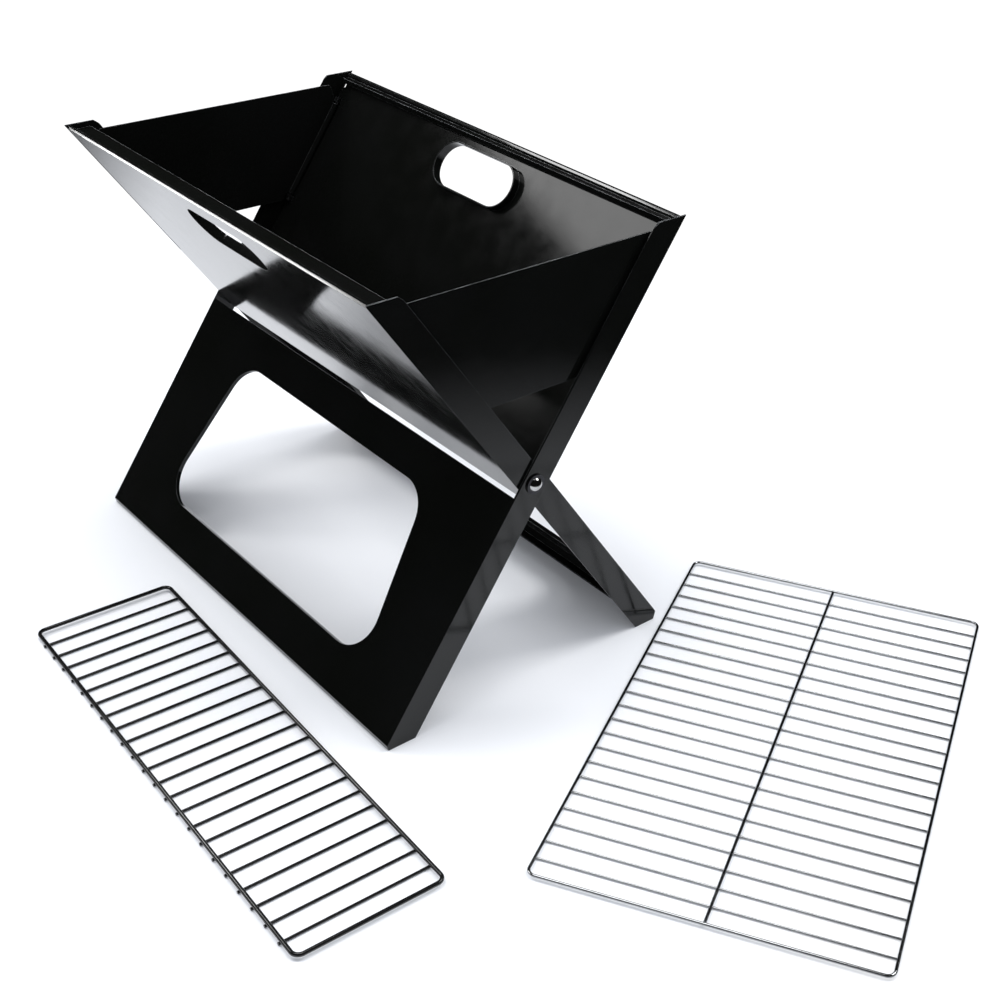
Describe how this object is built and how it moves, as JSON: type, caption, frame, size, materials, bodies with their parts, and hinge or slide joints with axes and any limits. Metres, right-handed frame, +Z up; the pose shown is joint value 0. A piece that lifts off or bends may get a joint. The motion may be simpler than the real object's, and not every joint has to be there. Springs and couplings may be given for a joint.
{
  "type": "folding camp grill",
  "caption": "Folding X-frame charcoal grill of enamelled sheet steel with hinged end walls, a charcoal grate and a cooking grate laid beside it.",
  "frame": {"origin": "on the floor, at the middle of the set's footprint, loose grates included", "axes": "+X along the pivot line, +Y from the front foot to the back, +Z up"},
  "size_m": [0.837, 0.6429, 0.364],
  "materials": {
    "enamel": "glossy black enamel",
    "black_wire": "glossy black enamel on wire",
    "chrome_wire": "bright chrome plate on wire",
    "bolt_steel": "polished zinc plate",
    "dark_washer": "dark plated steel",
    "spacer_nylon": "matte black nylon",
    "pin_steel": "drawn steel wire"
  },
  "bodies": {
    "outer_frame": {"outer_leg_frame": "enamel", "back_panel": "enamel", "far_wall_hinge_pin": "pin_steel", "far_wall_hinge_lugs": "enamel", "near_pivot_bolt": "bolt_steel", "near_pivot_washer": "dark_washer", "near_pivot_spacer": "spacer_nylon", "near_pivot_nut": "bolt_steel", "far_pivot_bolt": "bolt_steel", "far_pivot_washer": "dark_washer", "far_pivot_spacer": "spacer_nylon", "far_pivot_nut": "bolt_steel"},
    "inner_frame": {"inner_leg_frame": "enamel", "front_panel": "enamel", "near_wall_hinge_pin": "pin_steel", "near_wall_hinge_lugs": "enamel"},
    "near_wall": {"near_end_wall": "enamel"},
    "far_wall": {"far_end_wall": "enamel"},
    "coal_grate": {"coal_grate_frame": "black_wire", "coal_grate_bars": "black_wire"},
    "cooking_grate": {"cooking_grate_frame": "chrome_wire", "cooking_grate_bars": "chrome_wire", "cooking_grate_rib": "chrome_wire"}
  },
  "joints": [
    {"name": "frame_fold", "type": "hinge", "parent": "outer_frame", "child": "inner_frame", "pos_m": [-0.18837, -0.02368, 0.183], "axis": [-1, 0, 0], "range_deg": [0, 69.4]},
    {"name": "near_wall_fold", "type": "hinge", "parent": "inner_frame", "child": "near_wall", "pos_m": [0.02993, -0.11451, 0.30012], "axis": [0, -0.5693, 0.8221], "range_deg": [0, 90]},
    {"name": "far_wall_fold", "type": "hinge", "parent": "outer_frame", "child": "far_wall", "pos_m": [-0.40668, 0.06715, 0.30012], "axis": [0, 0.5693, 0.8221], "range_deg": [0, 90]},
    {"name": "coal_grate_lift", "type": "slide", "parent": "outer_frame", "child": "coal_grate", "axis": [0, 0, 1], "range_m": [0, 0.3]},
    {"name": "cooking_grate_lift", "type": "slide", "parent": "outer_frame", "child": "cooking_grate", "axis": [0, 0, 1], "range_m": [0, 0.3]}
  ]
}
